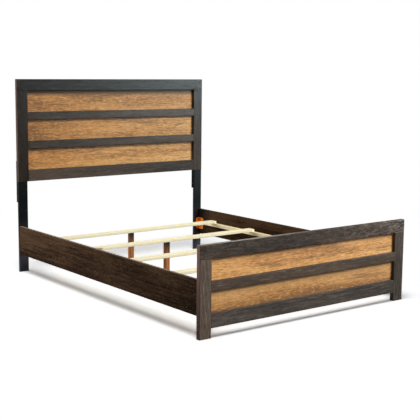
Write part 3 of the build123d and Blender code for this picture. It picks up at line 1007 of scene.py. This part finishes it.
coach_length = bite("splice_screws", 1, COACH_HEIGHT)
coach = hex_screw(COACH_HEAD, COACH_HEIGHT, COACH_RADIUS, coach_length)
coaches = drive(coach, "splice_screws", 1, False, COACH_HEIGHT)
add_piece("coach_screws", coaches, [bright_zinc], "frame", "splice_screws")
bolt = hex_screw(BOLT_HEAD, BOLT_HEIGHT, BOLT_RADIUS, INSERT_DEPTH + BOLT_BEYOND_INSERT)
bolts = drive(bolt, "bracket_bolts", 1, True, BOLT_HEIGHT)
add_piece("bracket_hex_bolts", bolts, [yellow_zinc], "frame", "bracket_bolts")

# %% Wood screws
SCREW_HEAD, SCREW_HEIGHT, SCREW_RADIUS = 0.0045, 0.0025, 0.00225
PAN_RINGS = [(0.62, 1.0), (0.9, 0.75), (1.0, 0.35), (1.0, 0.0), (SCREW_RADIUS / SCREW_HEAD, 0.0)]
PAN_HEAD = [(ring * SCREW_HEAD, height * SCREW_HEIGHT) for ring, height in PAN_RINGS]
SUNK_HEAD = [(SCREW_HEAD, 0.0), (SCREW_RADIUS, SCREW_RADIUS - SCREW_HEAD)]

pan = cross_screw(PAN_HEAD, SCREW_RADIUS, bite("bracket_screws", 0, SCREW_HEIGHT))
pans = drive(pan, "bracket_screws", 0, True, SCREW_HEIGHT)
add_piece("bracket_pan_screws", pans, [yellow_zinc], "frame", "bracket_screws")
for node, name, axis, to_middle in (
    ("ledger_screws", "ledger_wood_screws", 0, True),
    ("support_screws", "slat_wood_screws", 2, False),
):
    screw = cross_screw(SUNK_HEAD, SCREW_RADIUS, bite(node, axis, 0.0))
    screws = drive(screw, node, axis, to_middle, 0.0)
    add_piece(name, screws, [bright_zinc], "frame", node)

# %% [markdown]
# ## Levelling glides
# A glide is a moulded hexagonal foot on a threaded stem, and the thread shows where the glide is wound
# out. Rings piled on each other would look much alike, but a thread climbs. So one tooth of its
# profile is spun around the stem and lifted by one pitch each turn, so that every turn joins the one
# below. Two level cuts then trim it, and their faces close it.

# %% Threaded stem
THREAD_PITCH = 0.00125
THREAD_DEPTH = 0.00055
THREAD_STEPS = 20


def threaded_stem(shape, radius, low, high):
    """A closed threaded rod about the Z axis."""
    turns = math.ceil((high - low) / THREAD_PITCH) + 2
    root = radius - THREAD_DEPTH
    tooth = [(root, 0.0), (radius, THREAD_PITCH / 2), (root, THREAD_PITCH)]
    verts = [shape.verts.new((x, 0.0, low - THREAD_PITCH + z)) for x, z in tooth]
    edges = [shape.edges.new(pair) for pair in zip(verts, verts[1:])]
    bmesh.ops.spin(
        shape,
        geom=verts + edges,
        axis=(0.0, 0.0, 1.0),
        dvec=(0.0, 0.0, THREAD_PITCH / THREAD_STEPS),
        angle=math.tau * turns,
        steps=THREAD_STEPS * turns,
    )
    bmesh.ops.remove_doubles(shape, verts=shape.verts, dist=TINY)
    for height, way in ((low, -1.0), (high, 1.0)):
        cut = bmesh.ops.bisect_plane(
            shape,
            geom=[*shape.verts, *shape.edges, *shape.faces],
            dist=1e-7,
            plane_co=(0.0, 0.0, height),
            plane_no=(0.0, 0.0, way),
            clear_outer=True,
        )
        bmesh.ops.edgeloop_fill(shape, edges=only(bmesh.types.BMEdge, cut["geom_cut"]))
    bmesh.ops.recalc_face_normals(shape, faces=shape.faces)


# %% Moulded foot
FOOT_HEIGHT = 0.007
FOOT_RADIUS = 0.013
FOOT_CORNER = 0.0022
FOOT_EDGE = 0.0012
SOLE_RIM = 0.003
SOLE_HOLLOW = 0.001


def moulded_foot(shape, radius, height):
    """A hexagonal foot with rounded corners and rims, and a shallow hollow below."""
    _, base = capped_rim(shape, radius, 0.0, 6)
    made = bmesh.ops.extrude_face_region(shape, geom=[base])["geom"]
    for vert in only(bmesh.types.BMVert, made):
        vert.co.z = height
    uprights = [edge for edge in shape.edges if abs(edge.verts[0].co.z - edge.verts[1].co.z) > TINY]
    round_edges(shape, uprights, FOOT_CORNER, 4)
    rims = [edge for edge in shape.edges if abs(edge.verts[0].co.z - edge.verts[1].co.z) < TINY]
    round_edges(shape, rims, FOOT_EDGE, 3)
    sole = min(shape.faces, key=lambda face: face.calc_center_median().z)
    bmesh.ops.inset_individual(shape, faces=[sole], thickness=SOLE_RIM)
    bmesh.ops.translate(shape, verts=sole.verts, vec=(0.0, 0.0, SOLE_HOLLOW))
    bmesh.ops.recalc_face_normals(shape, faces=shape.faces)


# %% Levelling glides
STEM_RADIUS = 0.004
GLIDE_COUNT = 4

for number in range(1, GLIDE_COUNT + 1):
    node = f"levelling_glide_{number}"
    low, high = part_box(node)
    glide = bmesh.new()
    threaded_stem(glide, STEM_RADIUS, FOOT_HEIGHT, high.z)
    for face in glide.faces:
        face.material_index = 1
    foot = bmesh.new()
    moulded_foot(foot, FOOT_RADIUS, FOOT_HEIGHT)
    foot_mesh = bpy.data.meshes.new("foot")
    foot.to_mesh(foot_mesh)
    foot.free()
    glide.from_mesh(foot_mesh)
    bpy.data.meshes.remove(foot_mesh)
    middle = (low + high) / 2
    bmesh.ops.translate(glide, verts=glide.verts, vec=(middle.x, middle.y, low.z))
    finishes = [glide_plastic, bright_zinc]
    add_piece(f"screw_in_glide_{number}", glide, finishes, f"glide_{number}", node)

# %% [markdown]
# ## Floor and surroundings
# The bed stands on white, and only its soft shadow shows. A floor lit well enough to look white would
# light the bed from below. So floor and world are white to the camera and to reflections, and a grey
# floor and a dim sky for the light that falls on the bed. Near the bed the floor is a real surface, a
# little cool in tint, that holds the shadow. Farther off it turns into the background's white.

# %% Floor
FLOOR_SIDE = 60.0
FLOOR_GREY = (0.40, 0.40, 0.40)
FLOOR_SHOWN = (2.68, 2.72, 2.75)
SHADOW_REACH = 2.2
WHITE_REACH = 3.6


def seen_directly(tree):
    """One where a ray comes from the camera, from a reflection or through glass."""
    rays = put(tree, "LightPath").outputs
    shine = calc(tree, "MAXIMUM", rays["Is Glossy Ray"], rays["Is Transmission Ray"])
    return calc(tree, "MAXIMUM", rays["Is Camera Ray"], shine)


def floor_finish():
    """Plain pale floor that fades to white away from the bed."""
    material = bpy.data.materials.new("pale_floor")
    material.use_nodes = True
    tree = material.node_tree
    tree.nodes.clear()
    plain = put(tree, "BsdfDiffuse", {"Color": opaque(FLOOR_GREY)})
    bright = put(tree, "BsdfDiffuse", {"Color": opaque(FLOOR_SHOWN)})
    white = put(tree, "Emission", {"Strength": 1.0})
    place = put(tree, "TexCoord").outputs["Object"]
    radius = put(tree, "VectorMath", {0: place}, operation="LENGTH").outputs["Value"]
    far = spread(tree, radius, SHADOW_REACH, WHITE_REACH)
    shown = put(tree, "MixShader", {0: far, 1: bright.outputs[0], 2: white.outputs[0]})
    sockets = {0: seen_directly(tree), 1: plain.outputs[0], 2: shown.outputs[0]}
    put(tree, "OutputMaterial", {"Surface": put(tree, "MixShader", sockets).outputs[0]})
    return material


sheet = bmesh.new()
bmesh.ops.create_grid(sheet, x_segments=1, y_segments=1, size=FLOOR_SIDE / 2)
floor_mesh = bpy.data.meshes.new("floor")
sheet.to_mesh(floor_mesh)
sheet.free()
floor = bpy.data.objects.new("floor", floor_mesh)
floor_mesh.materials.append(floor_finish())
scene.collection.objects.link(floor)
print(f"floor {FLOOR_SIDE} m wide, white from {WHITE_REACH} m on")

# %% World
WHITE = (1.0, 1.0, 1.0)
SKY_STRENGTH = 0.07

world = bpy.data.worlds.new("studio")
scene.world = world
world.use_nodes = True
sky = world.node_tree
sky.nodes.clear()
dim = put(sky, "Background", {"Color": opaque(WHITE), "Strength": SKY_STRENGTH})
white = put(sky, "Background", {"Color": opaque(WHITE), "Strength": 1.0})
sockets = {0: seen_directly(sky), 1: dim.outputs[0], 2: white.outputs[0]}
put(sky, "OutputWorld", {"Surface": put(sky, "MixShader", sockets).outputs[0]})
print(f"white surroundings, sky {SKY_STRENGTH}")

# %% [markdown]
# ## Light
# A studio lights a bed with a few large soft lamps. One lamp alone would leave the fronts dark or the
# shadows in the wrong place, so each lamp here has one job. Light linking keeps it to that job: a
# group names what a lamp lights or leaves out, or what lets its light through.

# %% Lamps
LAMP_AIM = Vector((0.0, 0.0, 0.6))


def stand_lamp(lamp, place, aim):
    """Put a lamp on its stand, facing its aim and unseen by the camera."""
    stand = bpy.data.objects.new(lamp.name, lamp)
    stand.location = place
    stand.rotation_euler = (aim - place).to_track_quat("-Z", "Y").to_euler()
    stand.visible_camera = False
    scene.collection.objects.link(stand)
    print(f"{lamp.name} lamp, {lamp.energy:.1f} at {tuple(round(v, 2) for v in place)}")
    return stand


def softbox(name, place, size, watts, tint=WHITE):
    """A rectangular lamp that faces the bed."""
    lamp = bpy.data.lights.new(name, "AREA")
    lamp.shape = "RECTANGLE"
    lamp.size, lamp.size_y = size
    lamp.energy = watts
    lamp.color = tint
    return stand_lamp(lamp, Vector(place), LAMP_AIM)


def linked(name, things, state):
    """A group that a lamp keeps to, or leaves out."""
    group = bpy.data.collections.new(name)
    for thing in things:
        group.objects.link(thing)
    for row in group.collection_objects:
        row.light_linking.link_state = state
    return group


def starting(*beginnings):
    """The nodes whose names start in one of these ways."""
    return [nodes[node] for node in nodes if node.startswith(beginnings)]


# %% [markdown]
# ## Overhead lamp
# A large soft lamp hangs far overhead, a little to the left and in front, which lays the shadows just
# inside the rails. A sun lamp with a wide angle stands for it, because it lights both ends of the bed
# alike. The photograph shows no shadows of slats and supports and only a thin one of the footboard, so
# slats, supports and the footboard's upper members let its light through.

# %% Overhead lamp
KEY_LEAN = Vector((-0.30, -0.17, 1.0))
KEY_HEIGHT = 6.0
KEY_STRENGTH = 1.02
KEY_SPREAD = 0.56
FOOT_UPPERS = ("footboard_top", "footboard_mid", "footboard_upper", "footboard_lower")

far_lamp = bpy.data.lights.new("key", "SUN")
far_lamp.energy = KEY_STRENGTH
far_lamp.angle = KEY_SPREAD
key = stand_lamp(far_lamp, KEY_LEAN * KEY_HEIGHT, Vector())
clear = starting("slat", "support_leg", *FOOT_UPPERS)
key.light_linking.blocker_collection = linked("no_shadow_from_key", clear, "EXCLUDE")

# %% [markdown]
# ## Front, head and fill lamps
# A second lamp stands high in front on the right: it lights the fronts and draws the shadow under each
# rail. It is kept off the floor, which holds only the first lamp's shadow, and the right side rail lets
# it through. The headboard has a nearer lamp of its own instead, so that its shadows can be set apart
# from the footboard's. A fill lamp low on the left lifts the faces that look away from the others.

# %% Front, head and fill lamps
headboard = starting("headboard")
front = softbox("front", place=(4.2, -6.4, 5.4), size=(2.6, 2.6), watts=900.0)
front.light_linking.receiver_collection = linked("not_lit_by_front", [floor, *headboard], "EXCLUDE")
screen = linked("no_shadow_from_front", [nodes["right_side_rail"]], "EXCLUDE")
front.light_linking.blocker_collection = screen
head = softbox("head", place=(2.8, -2.6, 4.2), size=(1.2, 1.2), watts=270.0)
head.light_linking.receiver_collection = linked("lit_by_head", headboard, "INCLUDE")
fill = softbox("fill", place=(-4.6, 2.4, 0.9), size=(1.6, 1.2), watts=230.0)
fill.light_linking.receiver_collection = linked("not_lit_by_fill", [floor], "EXCLUDE")

# %% [markdown]
# ## Sheen lamp
# A cool strip lamp stands low on the right, where the boards of headboard and footboard mirror it to
# the camera. It only shows as sheen, which grows towards the right and the top. Paler stain there
# would look alike from the front, but wouldn't move with the viewer as a sheen does.

# %% Sheen lamp
SHEEN_TINT = (0.72, 0.93, 1.0)

sheen = softbox("sheen", place=(6.2, -5.0, 2.4), size=(1.2, 1.6), watts=2200.0, tint=SHEEN_TINT)
sheen.visible_diffuse = False
boards = starting("headboard_", "footboard_")
sheen.light_linking.receiver_collection = linked("shown_by_sheen", boards, "INCLUDE")
